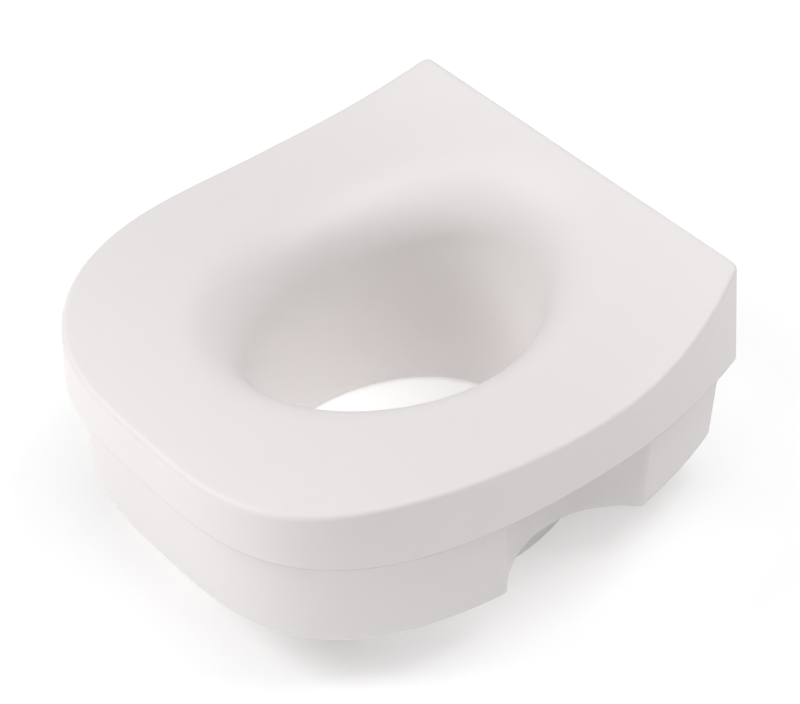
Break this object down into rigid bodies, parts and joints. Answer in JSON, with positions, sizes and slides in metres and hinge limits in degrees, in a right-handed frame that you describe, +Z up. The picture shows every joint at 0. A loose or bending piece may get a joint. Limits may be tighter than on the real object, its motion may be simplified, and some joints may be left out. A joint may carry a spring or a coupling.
{
  "type": "raised toilet seat",
  "caption": "Soft moulded raised toilet seat with a flared hole, splash collar and side notches, on a riser with sliding rim brackets and clamp knobs.",
  "frame": {"origin": "centre of the hole's lower end, on the plane that rests on the bowl's rim", "axes": "+Z up; -Y to the nose, +Y to the straight rear edge; +X to the left of a person who sits on it"},
  "size_m": [0.354, 0.3573, 0.1815],
  "materials": {
    "seat_skin": "satin integral-skin foam",
    "riser_skin": "satin integral-skin foam",
    "core_ply": "plain birch plywood",
    "zinc_steel": "zinc plated",
    "grip_rubber": "matte",
    "bracket_plastic": "fine moulded grain",
    "knob_plastic": "fine moulded grain"
  },
  "bodies": {
    "seat": {"seat_pad": "seat_skin", "riser_block": "riser_skin", "core_ring": "core_ply", "threaded_inserts": "zinc_steel", "rim_pads": "grip_rubber", "washers": "zinc_steel"},
    "bracket_front_left": {"bracket_front_left": "bracket_plastic", "grip_pad_front_left": "grip_rubber"},
    "knob_front_left": {"knob_front_left": "knob_plastic", "stud_front_left": "zinc_steel"},
    "bracket_front_right": {"bracket_front_right": "bracket_plastic", "grip_pad_front_right": "grip_rubber"},
    "knob_front_right": {"knob_front_right": "knob_plastic", "stud_front_right": "zinc_steel"},
    "bracket_rear_left": {"bracket_rear_left": "bracket_plastic", "grip_pad_rear_left": "grip_rubber"},
    "knob_rear_left": {"knob_rear_left": "knob_plastic", "stud_rear_left": "zinc_steel"},
    "bracket_rear_right": {"bracket_rear_right": "bracket_plastic", "grip_pad_rear_right": "grip_rubber"},
    "knob_rear_right": {"knob_rear_right": "knob_plastic", "stud_rear_right": "zinc_steel"}
  },
  "joints": [
    {"name": "bracket_front_left_slide", "type": "slide", "parent": "seat", "child": "bracket_front_left", "axis": [0.6357, -0.772, 0], "range_m": [0, 0.015]},
    {"name": "knob_front_left_turn", "type": "hinge", "parent": "seat", "child": "knob_front_left", "pos_m": [0.09342, -0.13382, 0], "axis": [0, 0, 1], "range_deg": [-360, 0]},
    {"name": "bracket_front_right_slide", "type": "slide", "parent": "seat", "child": "bracket_front_right", "axis": [-0.6357, -0.772, 0], "range_m": [0, 0.015]},
    {"name": "knob_front_right_turn", "type": "hinge", "parent": "seat", "child": "knob_front_right", "pos_m": [-0.09342, -0.13382, 0], "axis": [0, 0, 1], "range_deg": [-360, 0]},
    {"name": "bracket_rear_left_slide", "type": "slide", "parent": "seat", "child": "bracket_rear_left", "axis": [0.783, 0.6221, 0], "range_m": [0, 0.015]},
    {"name": "knob_rear_left_turn", "type": "hinge", "parent": "seat", "child": "knob_rear_left", "pos_m": [0.11736, 0.1174, 0], "axis": [0, 0, 1], "range_deg": [-360, 0]},
    {"name": "bracket_rear_right_slide", "type": "slide", "parent": "seat", "child": "bracket_rear_right", "axis": [-0.783, 0.6221, 0], "range_m": [0, 0.015]},
    {"name": "knob_rear_right_turn", "type": "hinge", "parent": "seat", "child": "knob_rear_right", "pos_m": [-0.11736, 0.1174, 0], "axis": [0, 0, 1], "range_deg": [-360, 0]}
  ]
}
